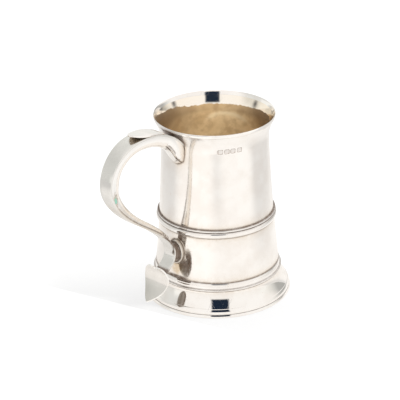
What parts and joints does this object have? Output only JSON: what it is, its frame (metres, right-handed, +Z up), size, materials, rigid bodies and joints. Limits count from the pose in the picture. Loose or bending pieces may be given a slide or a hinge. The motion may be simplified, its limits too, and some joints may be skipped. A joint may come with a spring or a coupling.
{
  "type": "drinking mug",
  "caption": "Open silver drinking mug with a tapering drum, flared lip, moulded girdle and spreading foot, and a hollow scroll handle with a thumb tongue and a heart-shaped tail.",
  "frame": {"origin": "on the standing plane, under the middle of the mug's box (handle included)", "axes": "+Z up the drum's axis; the handle reaches along -X; Y runs across the handle"},
  "size_m": [0.1484, 0.097, 0.1344],
  "materials": {
    "polished_silver": "polished silver with fine wear scratches",
    "moulded_silver": "polished silver, warm in the recesses",
    "handle_silver": "polished silver, softly worn",
    "tarnished_silver": "silver with a golden-brown tarnish"
  },
  "bodies": {
    "root": {"body_wall": "polished_silver", "lip_wire": "polished_silver", "girdle_band": "moulded_silver", "base_disc": "tarnished_silver", "foot_collar": "moulded_silver", "foot_skirt": "polished_silver", "foot_rim": "polished_silver", "handle_back_strap": "handle_silver", "handle_inner_channel": "moulded_silver", "upper_socket": "moulded_silver", "thumb_tongue": "handle_silver", "lower_boss": "handle_silver", "heart_terminal": "handle_silver"}
  },
  "joints": []
}
